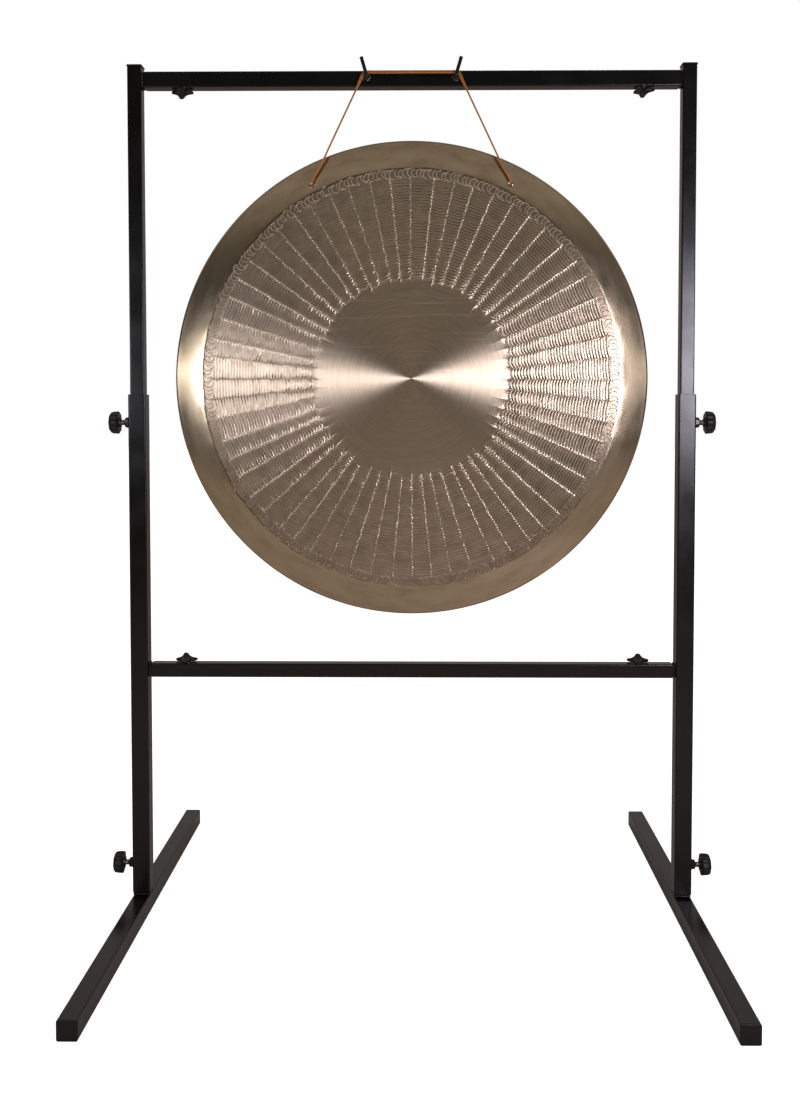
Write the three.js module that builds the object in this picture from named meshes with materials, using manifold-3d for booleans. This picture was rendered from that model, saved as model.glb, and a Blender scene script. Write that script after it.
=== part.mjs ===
// Gong stand: a height-adjustable frame of square steel tube on two foot bars, with a gong hung by
// a doubled cord from two hooks on the top bar.
// Lengths are in millimetres. X runs across the stand, Y from its front to its back and Z up.
// The origin is on the floor, midway between the feet.

import * as THREE from 'three';
import { mergeVertices } from 'three/addons/utils/BufferGeometryUtils.js';
import Module from 'manifold-3d';

const wasm = await Module();
wasm.setup();

const quarterTurn = Math.PI / 2;
const degree = Math.PI / 180;

// Driving dimensions of the whole stand
const stand = {
  height: 1211,       // floor to the top of the caps
  span: 780,          // between the centre lines of the uprights
  footLength: 720,    // over both end plugs
  lowerLength: 718,   // lower tube of an upright
  upperLength: 720,   // upper tube of an upright
  topBarDrop: 19,     // from the upper tube's top end down to the top bar's centre line
  midBarRise: 323,    // from the lower tube's bottom end up to the mid bar's centre line
};

// Clearances that the fits share
const fit = {
  slide: 0.5,    // tube in tube, on each side
  plug: 0.3,     // plastic plug in a tube, on each side
  thread: 0.3,   // screw in its thread, on the radius
  hole: 0.6,     // screw or barrel in a plain hole, on the radius
  seat: 0.2,     // piece above the face that it is fixed to
  tip: 0.3,      // tip of a clamping screw before what it presses on
  overrun: 1,    // cutting tool past the faces that it cuts
};

// Square tubes: the inner one of each pair takes its side from the bore that it slides in
const inside = (tube) => tube.side - 2 * (tube.wall + fit.slide);
const footTube = { side: 25, wall: 2, corner: 2.2 };
const lowerTube = { side: 25, wall: 2, corner: 2.2 };
const upperTube = { side: inside(lowerTube), wall: 1.5, corner: 1.8 };
const spigotTube = { side: inside(lowerTube), wall: 2, corner: 1.8 };
const topTube = { side: 22, wall: 1.5, corner: 1.8 };
const midTube = { side: 20, wall: 1.5, corner: 1.8 };
const topStubTube = { side: inside(topTube), wall: 1.5, corner: 1.5 };
const midStubTube = { side: inside(midTube), wall: 1.5, corner: 1.5 };
const cornerSteps = 1;

// Welded joints: a bead runs round the root of each spigot and stub
const spigot = { length: 70, bead: 4.6, beadReach: 2.2 };
const stub = { length: 80, bead: 3, beadReach: 2 };
const jointGap = { foot: 5, topBar: 3.4, midBar: 4.2 };
const beadSectionShares = [
  { out: 1, up: 0 },
  { out: 0.95, up: 0.4 },
  { out: 0.6, up: 0.8 },
  { out: 0, up: 1 },
];

// Plastic plugs and caps
const footPlug = { thickness: 2.5, edge: 0.7, depth: 14, wall: 1.8 };
const topCap = { thickness: 2, overhang: 0.8, edge: 0.4, depth: 12, wall: 1.6 };

// Clamps of the uprights: knob, stud and welded nut
const clamp = { inset: 40, stud: 8, studChamfer: 1, studSides: 16, bareStud: 6 };
const weldNut = { across: 13, height: 6.5, chamfer: 1.6 };
const clampKnob = {
  diameter: 32, body: 13.5, hub: 2.5, hubDiameter: 15, hubRootDiameter: 12, grip: 10,
  lobes: 8, flute: 1.3, stepsPerLobe: 5,
};
const clampKnobShares = [
  { along: 0, out: 0.9 },
  { along: 0.07, out: 1 },
  { along: 0.55, out: 0.985 },
  { along: 0.8, out: 0.93 },
  { along: 0.94, out: 0.8 },
  { along: 1, out: 0.6 },
];

// Star screws of the crossbars: knob, screw and threaded insert
const star = { inset: 65, screw: 6, screwChamfer: 0.8, screwSides: 12, lift: 0.3 };
const insert = { flangeDiameter: 13, flange: 0.8, barrelDiameter: 9, sides: 16 };
const starKnob = {
  arm: 17.5, valley: 7.2, tip: 3.2, height: 12.2, grip: 7.5, arms: 3, armPower: 2, sides: 30,
};
const starKnobShares = [
  { along: 0, star: 0.95 },
  { along: 0.06, star: 1 },
  { along: 0.36, star: 1 },
  { along: 0.47, star: 0.88 },
  { along: 0.56, star: 0.58 },
  { along: 0.68, star: 0.3 },
  { along: 0.82, star: 0.12 },
  { along: 0.94, star: 0 },
];
const starTipShare = 0.55;
const starAngles = { topLeft: -30, topRight: 0, midLeft: 32, midRight: 22 };

// Hooks on the top bar, bent from threaded rod and held by a flanged nut on each side
const hook = {
  rod: 5.2, spacing: 125, rise: 1.5, reach: 13, bend: 5, arm: 26.2, tipEdge: 0.5,
  lean: 16.2 * degree, bendSteps: 5, domeSteps: 3, sides: 12,
};
const hookNut = { across: 8, height: 2.7, chamfer: 0.8, flangeDiameter: 12, flange: 0.8, proud: 3 };

// Gong: a thin bronze disc with a sloping band and a rim turned back. Its drop is from the hooks'
// level to its centre, and its balance from the cord's plane forward to the middle of its face.
const gong = {
  diameter: 668, thickness: 1.6, drop: 421.8, depth: 42,
  discRadius: 134, dome: 4, zoneFall: 3, bandWidth: 40, bandFall: 8, rimRound: 5, rimTaper: 3,
  creaseWidth: 4, creaseDepth: 1, holeDiameter: 8, holeInset: 29, holeAngle: 27.1 * degree,
  balance: 10.1, sides: 72, domeSteps: 3, zoneSteps: 1, roundSteps: 2,
};

// Cord: two strands side by side, from a knot behind one hole over both hooks to the other knot.
// The route is the middle line of the right half, and the left half mirrors it. Its points are
// measured from the hooks' level and from the plane midway between the hooks' arms and the bar.
const cord = { strand: 2.2, pitch: 2.5, stepsPerPoint: 2, sides: 8, turnShare: 0.3 };
const cordRoute = [
  [0, 0, 5.45],
  [20, 0, 5.45],
  [40, 0, 5.45],
  [56, 0, 5.45],
  [62.5, 0, 5.45],
  [64.6, 0, 5.05],
  [66.4, 0, 3.85],
  [67.4, -0.05, 2.3],
  [70, -0.1, -3.3],
  [81, -0.4, -27],
  [97, -1.1, -60.9],
  [113, -1.9, -94.9],
  [127, -2.9, -124.5],
  [134.9, -3.4, -139.3],
  [138.2, -3.2, -146.8],
  [138.9, -1.3, -149.9],
  [138.9, 1.3, -150.3],
  [138.9, 5, -150.3],
];
const knot = { size: 3.3, steps: 30, sides: 5 };

// Levels and stations that several pieces share
const side = { left: -1, right: 1 };
const uprightX = stand.span / 2;
const lowerBottom = footTube.side + jointGap.foot;
const lowerTop = lowerBottom + stand.lowerLength;
const upperTop = stand.height - topCap.thickness - fit.seat;
const topBarZ = upperTop - stand.topBarDrop;
const midBarZ = lowerBottom + stand.midBarRise;
const starX = uprightX - star.inset;
const hookZ = topBarZ + hook.rise;
const cordY = -(topTube.side + hook.reach) / 2;

const paint = new THREE.MeshStandardMaterial({ color: '#191715', roughness: 0.32, metalness: 0.2 });
const plastic = new THREE.MeshStandardMaterial({ color: '#121110', roughness: 0.55, metalness: 0 });
const zinc = new THREE.MeshStandardMaterial({ color: '#b9bcbf', roughness: 0.3, metalness: 1 });
const bronze = new THREE.MeshStandardMaterial({ color: '#8d7a5b', roughness: 0.35, metalness: 1 });
const twine = new THREE.MeshStandardMaterial({ color: '#a5692f', roughness: 0.8, metalness: 0 });

// Geometry to solid and back, for cuts and joins
function solidOf(geometry) {
  const bare = geometry.clone();
  bare.deleteAttribute('normal');
  bare.deleteAttribute('uv');
  const merged = mergeVertices(bare);
  return new wasm.Manifold(new wasm.Mesh({
    numProp: 3,
    vertProperties: new Float32Array(merged.attributes.position.array),
    triVerts: new Uint32Array(merged.index.array),
  }));
}

function geometryOf(solid) {
  const mesh = solid.getMesh();
  const geometry = new THREE.BufferGeometry();
  geometry.setAttribute('position', new THREE.BufferAttribute(mesh.vertProperties, 3));
  geometry.setIndex(new THREE.BufferAttribute(mesh.triVerts, 1));
  geometry.computeVertexNormals();
  return geometry;
}

function cut(geometry, ...tools) {
  return geometryOf(tools.reduce((solid, tool) => solid.subtract(solidOf(tool)), solidOf(geometry)));
}

function join(geometry, ...others) {
  return geometryOf(others.reduce((solid, other) => solid.add(solidOf(other)), solidOf(geometry)));
}

function intersect(geometry, other) {
  return geometryOf(solidOf(geometry).intersect(solidOf(other)));
}

// A skin over rings of equal count, from the lowest up the outside; it is capped or closes on itself
function skin(rings, capped) {
  const count = rings[0].length;
  const positions = rings.flat().flatMap((point) => [point.x, point.y, point.z]);
  const faces = [];
  const spans = capped ? rings.length - 1 : rings.length;
  for (let i = 0; i < spans; i += 1) {
    const low = i * count;
    const high = ((i + 1) % rings.length) * count;
    for (let j = 0; j < count; j += 1) {
      const next = (j + 1) % count;
      faces.push(low + j, low + next, high + next, low + j, high + next, high + j);
    }
  }
  if (capped) {
    const ends = [{ start: 0, ring: rings[0] }, { start: spans * count, ring: rings[spans] }];
    ends.forEach(({ start, ring }, end) => {
      const centre = positions.length / 3;
      const middle = ring.reduce((sum, point) => sum.add(point), new THREE.Vector3());
      positions.push(...middle.divideScalar(count).toArray());
      for (let j = 0; j < count; j += 1) {
        const here = start + j;
        const next = start + ((j + 1) % count);
        faces.push(centre, end === 0 ? next : here, end === 0 ? here : next);
      }
    });
  }
  const geometry = new THREE.BufferGeometry();
  geometry.setAttribute('position', new THREE.Float32BufferAttribute(positions, 3));
  geometry.setIndex(faces);
  geometry.computeVertexNormals();
  return geometry;
}

function squareOutline(width, corner) {
  const flat = width / 2 - corner;
  const outline = new THREE.Shape();
  outline.absarc(flat, flat, corner, 0, quarterTurn);
  outline.absarc(-flat, flat, corner, quarterTurn, 2 * quarterTurn);
  outline.absarc(-flat, -flat, corner, 2 * quarterTurn, 3 * quarterTurn);
  outline.absarc(flat, -flat, corner, 3 * quarterTurn, 4 * quarterTurn);
  return outline;
}

// A square tube along +Z, from 0 to its length
function tubeAlongZ(tube, length) {
  const outline = squareOutline(tube.side, tube.corner);
  const bore = squareOutline(tube.side - 2 * tube.wall, tube.corner - tube.wall / 2);
  outline.holes.push(bore);
  return new THREE.ExtrudeGeometry(outline, {
    depth: length, bevelEnabled: false, curveSegments: cornerSteps,
  });
}

// A square plate along +Z with eased edges
function plateAlongZ(width, corner, thickness, edge) {
  return new THREE.ExtrudeGeometry(squareOutline(width, corner), {
    depth: thickness - 2 * edge,
    bevelThickness: edge,
    bevelSize: edge,
    bevelOffset: -edge,
    bevelSegments: 1,
    curveSegments: cornerSteps,
  }).translate(0, 0, edge);
}

// A weld bead round the root of a square tube that stands on the plane Z = 0
function beadAlongZ(tube, reach, height) {
  const ringAt = (out, up) => squareOutline(tube.side + 2 * out, tube.corner + out)
    .getPoints(cornerSteps)
    .map((point) => new THREE.Vector3(point.x, point.y, up));
  const sunk = -tube.wall / 2;
  const outer = beadSectionShares.map((share) => ringAt(share.out * reach, share.up * height));
  return skin([ringAt(sunk, 0), ...outer, ringAt(sunk, height)], false);
}

// A round bar or ring along +Z from a profile of radii and heights
function turnedAlongZ(profile, sides) {
  const points = profile.map(([radius, height]) => new THREE.Vector2(radius, height));
  return new THREE.LatheGeometry(points, sides).rotateX(quarterTurn);
}

function drillAlongZ(radius, length, sides) {
  return turnedAlongZ([[0, 0], [radius, 0], [radius, length], [0, length]], sides);
}

// A screw shank with an eased end at both tips
function shankAlongZ(diameter, length, chamfer, sides) {
  const radius = diameter / 2;
  return turnedAlongZ([
    [0, 0],
    [radius - chamfer, 0],
    [radius, chamfer],
    [radius, length - chamfer],
    [radius - chamfer, length],
    [0, length],
  ], sides);
}

// A hexagonal block along +Z whose outer corners are turned down
function hexAlongZ(across, height, chamfer) {
  const cornerRadius = across / Math.sqrt(3);
  const block = new THREE.CylinderGeometry(cornerRadius, cornerRadius, height, 6)
    .rotateX(quarterTurn)
    .translate(0, 0, height / 2);
  const turned = turnedAlongZ([
    [0, 0],
    [cornerRadius + fit.overrun, 0],
    [cornerRadius + fit.overrun, height - chamfer],
    [across / 2 - chamfer / 2, height],
    [0, height],
  ], clamp.studSides * 2);
  return intersect(block, turned);
}

const toX = (geometry) => geometry.rotateY(quarterTurn);
const toY = (geometry) => geometry.rotateX(-quarterTurn);

const model = new THREE.Group();

function group(parent, x, y, z) {
  const holder = new THREE.Group();
  holder.position.set(x, y, z);
  parent.add(holder);
  return holder;
}

function add(parent, name, geometry, material, x = 0, y = 0, z = 0) {
  const mesh = new THREE.Mesh(geometry, material);
  mesh.name = name;
  mesh.position.set(x, y, z);
  parent.add(mesh);
  return mesh;
}

// Foot: a bar along Y with a plug in each end and an upright spigot welded on
function plugAlongZ(tube, plug, width) {
  const depthTube = {
    side: tube.side - 2 * (tube.wall + fit.plug), wall: plug.wall, corner: tube.corner - tube.wall / 2,
  };
  const shell = tubeAlongZ(depthTube, plug.depth + plug.edge).translate(0, 0, -plug.depth);
  return join(plateAlongZ(width, tube.corner, plug.thickness, plug.edge), shell);
}

function buildFoot(parent, name) {
  const foot = group(parent, side[name] * uprightX, 0, footTube.side / 2);
  const barLength = stand.footLength - 2 * (footPlug.thickness + fit.seat);
  add(foot, `${name}_foot_bar`, toY(tubeAlongZ(footTube, barLength)), paint, 0, -barLength / 2);
  ['front', 'back'].forEach((end) => {
    const holder = group(foot, 0, 0, 0);
    holder.rotation.z = end === 'front' ? Math.PI : 0;
    const seat = barLength / 2 + fit.seat;
    const shape = toY(plugAlongZ(footTube, footPlug, footTube.side));
    add(holder, `${name}_foot_${end}_plug`, shape, plastic, 0, seat);
  });
  const post = join(
    tubeAlongZ(spigotTube, spigot.length),
    beadAlongZ(spigotTube, spigot.beadReach, spigot.bead),
  );
  add(foot, `${name}_foot_spigot`, post, paint, 0, 0, footTube.side / 2 + fit.seat);
}

// Lower upright: a tube over the spigot, drilled on its outer face for the two clamps
function buildLowerUpright(parent, name) {
  const upright = group(parent, side[name] * uprightX, 0, lowerBottom);
  const drill = toX(drillAlongZ(clamp.stud / 2 + fit.hole, lowerTube.side, clamp.studSides));
  drill.scale(side[name], side[name], 1);
  const holes = [clamp.inset, stand.lowerLength - clamp.inset]
    .map((height) => drill.clone().translate(0, 0, height));
  add(upright, `${name}_lower_upright`, cut(tubeAlongZ(lowerTube, stand.lowerLength), ...holes), paint);
}

function buildUpperUpright(parent, name) {
  const upright = group(parent, side[name] * uprightX, 0, upperTop);
  const tube = tubeAlongZ(upperTube, stand.upperLength).translate(0, 0, -stand.upperLength);
  add(upright, `${name}_upper_upright`, tube, paint);
  const plate = plugAlongZ(upperTube, topCap, upperTube.side + 2 * topCap.overhang);
  add(upright, `${name}_top_cap`, plate, plastic, 0, 0, fit.seat);
}

// Crossbar: a tube along X over two stubs that are welded to the uprights
function buildCrossbar(parent, bar) {
  const { name, tube, stubTube, uprightSide, z, gap, faceDown } = bar;
  const face = uprightX - uprightSide / 2;
  const half = face - gap;
  const turn = faceDown ? Math.PI : 0;
  const crossbar = group(parent, 0, 0, z);
  const drill = drillAlongZ(insert.barrelDiameter / 2 + fit.thread, tube.side, insert.sides)
    .rotateX(turn);
  const holes = [-starX, starX].map((x) => drill.clone().translate(x, 0, 0));
  bar.extraHoles.forEach((hole) => holes.push(hole));
  const body = toX(tubeAlongZ(tube, 2 * half)).translate(-half, 0, 0);
  add(crossbar, `${name}_crossbar`, cut(body, ...holes), paint);
  Object.keys(side).forEach((end) => {
    const holder = group(crossbar, side[end] * (face - fit.seat), 0, 0);
    holder.rotation.z = end === 'left' ? 0 : Math.PI;
    const root = beadAlongZ(stubTube, stub.beadReach, stub.bead);
    add(holder, `${name}_${end}_stub`, toX(join(tubeAlongZ(stubTube, stub.length), root)), paint);
    buildStarScrew(crossbar, name, end, tube, stubTube, turn);
  });
}

// Star screw: threaded insert in the crossbar's wall, screw down to the stub, knob over it
function starOutline(share, angle) {
  const wave = (0.5 + 0.5 * Math.cos(starKnob.arms * angle)) ** starKnob.armPower;
  const full = starKnob.valley + (starKnob.arm - starKnob.valley) * wave;
  return starKnob.tip + (full - starKnob.tip) * share;
}

function starKnobAlongZ() {
  const ringAt = (height, radiusAt) => Array.from({ length: starKnob.sides }, (_, j) => {
    const angle = (j * 2 * Math.PI) / starKnob.sides;
    const radius = radiusAt(angle);
    return new THREE.Vector3(radius * Math.cos(angle), radius * Math.sin(angle), height);
  });
  const rings = starKnobShares.map((share) => ringAt(
    share.along * starKnob.height,
    (angle) => starOutline(share.star, angle),
  ));
  rings.push(ringAt(starKnob.height, () => starKnob.tip * starTipShare));
  const hole = drillAlongZ(star.screw / 2 + fit.thread, starKnob.grip + fit.overrun, star.screwSides);
  return cut(skin(rings, true), hole.translate(0, 0, -fit.overrun));
}

function insertAlongZ(wall) {
  const bore = star.screw / 2 + fit.thread;
  const barrel = insert.barrelDiameter / 2;
  const flange = insert.flangeDiameter / 2;
  return turnedAlongZ([
    [bore, -wall],
    [barrel, -wall],
    [barrel, fit.seat],
    [flange, fit.seat],
    [flange, fit.seat + insert.flange],
    [bore, fit.seat + insert.flange],
    [bore, -wall],
  ], insert.sides);
}

function buildStarScrew(parent, bar, end, tube, stubTube, turn) {
  const holder = group(parent, side[end] * starX, 0, 0);
  holder.rotation.x = turn;
  const name = `${bar}_${end}`;
  const outerFace = tube.side / 2;
  const tip = stubTube.side / 2 + fit.tip;
  const base = outerFace + fit.seat + insert.flange + star.lift;
  const shankEnd = base + starKnob.grip - fit.tip;
  add(holder, `${name}_insert`, insertAlongZ(tube.wall), zinc, 0, 0, outerFace);
  const shank = shankAlongZ(star.screw, shankEnd - tip, star.screwChamfer, star.screwSides);
  add(holder, `${name}_star_screw`, shank, zinc, 0, 0, tip);
  const knob = add(holder, `${name}_star_knob`, starKnobAlongZ(), plastic, 0, 0, base);
  const key = `${bar}${end === 'left' ? 'Left' : 'Right'}`;
  knob.rotation.z = starAngles[key] * degree;
}

// Clamp: nut welded on the lower upright, stud through it, fluted knob on the stud
function clampKnobAlongZ() {
  const count = clampKnob.lobes * clampKnob.stepsPerLobe;
  const radius = clampKnob.diameter / 2;
  const ringAt = (height, share) => Array.from({ length: count }, (_, j) => {
    const angle = (j * 2 * Math.PI) / count;
    const flute = clampKnob.flute * (0.5 - 0.5 * Math.cos(clampKnob.lobes * angle));
    const reach = (radius - flute) * share;
    return new THREE.Vector3(reach * Math.cos(angle), reach * Math.sin(angle), height);
  });
  const rings = clampKnobShares.map((share) => ringAt(share.along * clampKnob.body, share.out));
  const hub = turnedAlongZ([
    [0, -clampKnob.hub],
    [clampKnob.hubRootDiameter / 2, -clampKnob.hub],
    [clampKnob.hubDiameter / 2, fit.overrun],
    [0, fit.overrun],
  ], clamp.studSides);
  const hole = drillAlongZ(
    clamp.stud / 2 + fit.thread,
    clampKnob.grip + fit.tip + fit.overrun,
    clamp.studSides,
  );
  const drill = hole.translate(0, 0, -clampKnob.hub - fit.overrun);
  return cut(join(skin(rings, true), hub), drill).translate(0, 0, clampKnob.hub);
}

function buildClamp(parent, end, level, z) {
  const holder = group(parent, side[end] * uprightX, 0, z);
  holder.rotation.z = end === 'right' ? 0 : Math.PI;
  const name = `${level}_${end}`;
  const face = lowerTube.side / 2 + fit.seat;
  const tip = (level === 'upper' ? upperTube.side : spigotTube.side) / 2 + fit.tip;
  const bore = drillAlongZ(
    clamp.stud / 2 + fit.thread,
    weldNut.height + 2 * fit.overrun,
    clamp.studSides,
  ).translate(0, 0, -fit.overrun);
  const nut = cut(hexAlongZ(weldNut.across, weldNut.height, weldNut.chamfer), bore);
  add(holder, `${name}_weld_nut`, toX(nut), paint, face);
  const knobFace = face + weldNut.height + clamp.bareStud;
  const studEnd = knobFace + clampKnob.grip;
  const stud = shankAlongZ(clamp.stud, studEnd - tip, clamp.studChamfer, clamp.studSides);
  add(holder, `${name}_clamp_stud`, toX(stud), zinc, tip);
  add(holder, `${name}_clamp_knob`, toX(clampKnobAlongZ()), plastic, knobFace);
}

// Hook: a rod through the top bar, bent up in front of it and leaning outwards. Its path lies in one
// plane, and each place on it has its distance forward and up, its slope and its radius.
function hookPath() {
  const radius = hook.rod / 2;
  const behind = topTube.side + hookNut.flange + hookNut.height + hookNut.proud;
  const places = [
    { forward: -behind, up: 0, slope: 0, radius: radius - hook.tipEdge },
    { forward: hook.tipEdge - behind, up: 0, slope: 0, radius },
  ];
  for (let i = 0; i <= hook.bendSteps; i += 1) {
    const slope = (i * quarterTurn) / hook.bendSteps;
    places.push({
      forward: hook.reach - hook.bend + hook.bend * Math.sin(slope),
      up: hook.bend * (1 - Math.cos(slope)),
      slope,
      radius,
    });
  }
  const dome = hook.arm - radius;
  for (let i = 0; i < hook.domeSteps; i += 1) {
    const angle = (i * quarterTurn) / hook.domeSteps;
    places.push({
      forward: hook.reach,
      up: dome + radius * Math.sin(angle),
      slope: quarterTurn,
      radius: radius * Math.cos(angle),
    });
  }
  return places;
}

function hookGeometry(sign) {
  const forward = new THREE.Vector3(0, -1, 0);
  const up = new THREE.Vector3(sign * Math.sin(hook.lean), 0, Math.cos(hook.lean));
  const across = forward.clone().cross(up);
  const face = topTube.side / 2;
  const rings = hookPath().map((place) => {
    const centre = forward.clone().multiplyScalar(place.forward + face).addScaledVector(up, place.up);
    const normal = up.clone().multiplyScalar(Math.cos(place.slope))
      .addScaledVector(forward, -Math.sin(place.slope));
    return Array.from({ length: hook.sides }, (_, j) => {
      const angle = (j * 2 * Math.PI) / hook.sides;
      return centre.clone()
        .addScaledVector(normal, place.radius * Math.cos(angle))
        .addScaledVector(across, place.radius * Math.sin(angle));
    });
  });
  return skin(rings, true);
}

function hookNutAlongZ() {
  const flange = drillAlongZ(hookNut.flangeDiameter / 2, hookNut.flange, clamp.studSides);
  const hex = hexAlongZ(hookNut.across, hookNut.height + hookNut.flange, hookNut.chamfer);
  const bore = drillAlongZ(
    hook.rod / 2 + fit.thread,
    hookNut.height + hookNut.flange + 2 * fit.overrun,
    clamp.studSides,
  ).translate(0, 0, -fit.overrun);
  return cut(join(flange, hex), bore);
}

function buildHook(parent, end) {
  const holder = group(parent, (side[end] * hook.spacing) / 2, 0, hookZ);
  const name = `${end}_hook`;
  add(holder, name, hookGeometry(side[end]), paint);
  const face = topTube.side / 2 + fit.seat;
  add(holder, `${name}_back_nut`, toY(hookNutAlongZ()), paint, 0, face);
  const front = group(holder, 0, 0, 0);
  front.rotation.z = Math.PI;
  add(front, `${name}_front_nut`, toY(hookNutAlongZ()), paint, 0, face);
}

// Gong: front outline from the centre to the rim's back edge, then the same moved in by the metal
function gongFront() {
  const rim = gong.diameter / 2;
  const crease = rim - gong.bandWidth;
  const halfCrease = gong.creaseWidth / 2;
  const zoneEnd = crease - halfCrease;
  const outline = [];
  for (let i = 0; i <= gong.domeSteps; i += 1) {
    const share = i / gong.domeSteps;
    outline.push(new THREE.Vector2(gong.discRadius * share, gong.dome * share ** 2));
  }
  for (let i = 1; i <= gong.zoneSteps; i += 1) {
    const share = i / gong.zoneSteps;
    const radius = gong.discRadius + (zoneEnd - gong.discRadius) * share;
    outline.push(new THREE.Vector2(radius, gong.dome + gong.zoneFall * share));
  }
  const base = gong.dome + gong.zoneFall;
  outline.push(new THREE.Vector2(crease, base + gong.creaseDepth));
  outline.push(new THREE.Vector2(crease + halfCrease, base + gong.creaseDepth / 2));
  const roundStart = rim - gong.rimRound;
  for (let i = 0; i <= gong.roundSteps; i += 1) {
    const angle = (i * quarterTurn) / gong.roundSteps;
    outline.push(new THREE.Vector2(
      roundStart + gong.rimRound * Math.sin(angle),
      base + gong.bandFall + gong.rimRound * (1 - Math.cos(angle)),
    ));
  }
  outline.push(new THREE.Vector2(rim - gong.rimTaper, gong.depth));
  return outline;
}

function gongGeometry() {
  const front = gongFront();
  const last = front.length - 1;
  const back = front.map((point, i) => {
    const before = front[Math.max(i - 1, 0)];
    const after = front[Math.min(i + 1, last)];
    const along = after.clone().sub(before).normalize();
    const inward = new THREE.Vector2(-along.y, along.x);
    return i === 0
      ? new THREE.Vector2(0, point.y + gong.thickness)
      : point.clone().addScaledVector(inward, gong.thickness);
  });
  back[last].set(front[last].x - gong.thickness, front[last].y);
  const disc = new THREE.LatheGeometry([...front, ...back.reverse()], gong.sides);
  const reach = gong.diameter / 2 - gong.holeInset;
  const drill = drillAlongZ(gong.holeDiameter / 2, gong.depth, clamp.studSides).rotateX(-quarterTurn);
  const holes = Object.values(side).map((sign) => drill.clone().translate(
    sign * reach * Math.sin(gong.holeAngle),
    0,
    reach * Math.cos(gong.holeAngle),
  ));
  return cut(disc, ...holes);
}

// Cord: each strand follows the middle line, moved half the pitch in or out of the loop
function cordLine() {
  const right = cordRoute.map(([x, y, z]) => new THREE.Vector3(x, y, z));
  const left = right.slice(1).reverse().map((point) => new THREE.Vector3(-point.x, point.y, point.z));
  return new THREE.CatmullRomCurve3([...left, ...right], false, 'centripetal');
}

function strandGeometry(line, offset) {
  const radius = cord.strand / 2;
  const outward = new THREE.Vector3(0, 0, 1);
  const half = (cordRoute.length - 1) * cord.stepsPerPoint;
  const rings = Array.from({ length: half + 1 }, (_, i) => {
    const share = 0.5 + (0.5 * i) / half;
    const tangent = line.getTangent(share);
    const flat = new THREE.Vector3(-tangent.z, 0, tangent.x);
    if (flat.length() > cord.turnShare) outward.copy(flat.normalize());
    const centre = line.getPoint(share).addScaledVector(outward, offset);
    const normal = outward.clone().addScaledVector(tangent, -outward.dot(tangent)).normalize();
    const across = tangent.clone().cross(normal);
    return Array.from({ length: cord.sides }, (__, j) => {
      const angle = (j * 2 * Math.PI) / cord.sides;
      return centre.clone()
        .addScaledVector(normal, radius * Math.cos(angle))
        .addScaledVector(across, radius * Math.sin(angle));
    });
  });
  const mirrored = rings.slice(1).reverse()
    .map((ring) => ring.map((point) => new THREE.Vector3(-point.x, point.y, point.z)));
  return skin([...mirrored, ...rings], true);
}

function cordGeometry() {
  const line = cordLine();
  const end = line.getPointAt(1);
  const tied = new THREE.TorusKnotGeometry(knot.size, cord.strand / 2, knot.steps, knot.sides)
    .rotateX(quarterTurn);
  const knots = Object.values(side).map((sign) => tied.clone().translate(sign * end.x, end.y, end.z));
  const strands = [-1, 1].map((sign) => strandGeometry(line, (sign * cord.pitch) / 2));
  return join(strands[0], strands[1], ...knots);
}

const feet = group(model, 0, 0, 0);
const lowerFrame = group(model, 0, 0, 0);
const upperFrame = group(model, 0, 0, 0);
const hungGong = group(model, 0, cordY, hookZ);

const hookDrill = drillAlongZ(hook.rod / 2 + fit.hole, topTube.side + 2 * fit.overrun, clamp.studSides)
  .rotateX(-quarterTurn)
  .translate(0, -topTube.side / 2 - fit.overrun, hook.rise);
const hookHoles = Object.values(side)
  .map((sign) => hookDrill.clone().translate((sign * hook.spacing) / 2, 0, 0));

Object.keys(side).forEach((name) => {
  buildFoot(feet, name);
  buildLowerUpright(lowerFrame, name);
  buildUpperUpright(upperFrame, name);
  buildHook(upperFrame, name);
  buildClamp(lowerFrame, name, 'lower', lowerBottom + clamp.inset);
  buildClamp(lowerFrame, name, 'upper', lowerTop - clamp.inset);
});
buildCrossbar(lowerFrame, {
  name: 'mid', tube: midTube, stubTube: midStubTube, uprightSide: lowerTube.side, z: midBarZ,
  gap: jointGap.midBar, faceDown: false, extraHoles: [],
});
buildCrossbar(upperFrame, {
  name: 'top', tube: topTube, stubTube: topStubTube, uprightSide: upperTube.side, z: topBarZ,
  gap: jointGap.topBar, faceDown: true, extraHoles: hookHoles,
});
add(hungGong, 'gong', gongGeometry(), bronze, 0, -gong.balance, -gong.drop);
add(hungGong, 'hanging_cord', cordGeometry(), twine);

export default model;
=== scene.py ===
import math
from functools import partial
import bmesh
import bpy
import numpy as np
from mathutils import Matrix, Vector


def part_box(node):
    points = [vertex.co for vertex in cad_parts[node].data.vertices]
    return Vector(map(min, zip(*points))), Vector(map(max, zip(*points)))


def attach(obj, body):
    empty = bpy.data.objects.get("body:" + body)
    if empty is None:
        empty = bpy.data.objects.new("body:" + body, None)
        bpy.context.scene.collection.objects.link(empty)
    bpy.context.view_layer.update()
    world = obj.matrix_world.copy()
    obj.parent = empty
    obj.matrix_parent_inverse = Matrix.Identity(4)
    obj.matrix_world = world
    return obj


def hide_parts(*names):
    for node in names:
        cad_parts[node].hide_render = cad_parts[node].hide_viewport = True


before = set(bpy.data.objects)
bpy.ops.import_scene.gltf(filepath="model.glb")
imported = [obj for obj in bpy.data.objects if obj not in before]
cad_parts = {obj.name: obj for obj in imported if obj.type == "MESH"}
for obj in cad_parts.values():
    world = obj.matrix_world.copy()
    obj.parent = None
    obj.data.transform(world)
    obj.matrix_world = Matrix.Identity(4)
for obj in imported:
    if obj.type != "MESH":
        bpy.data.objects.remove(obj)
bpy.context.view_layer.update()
mm = 0.001
sides = {"left": -1, "right": 1}
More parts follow.
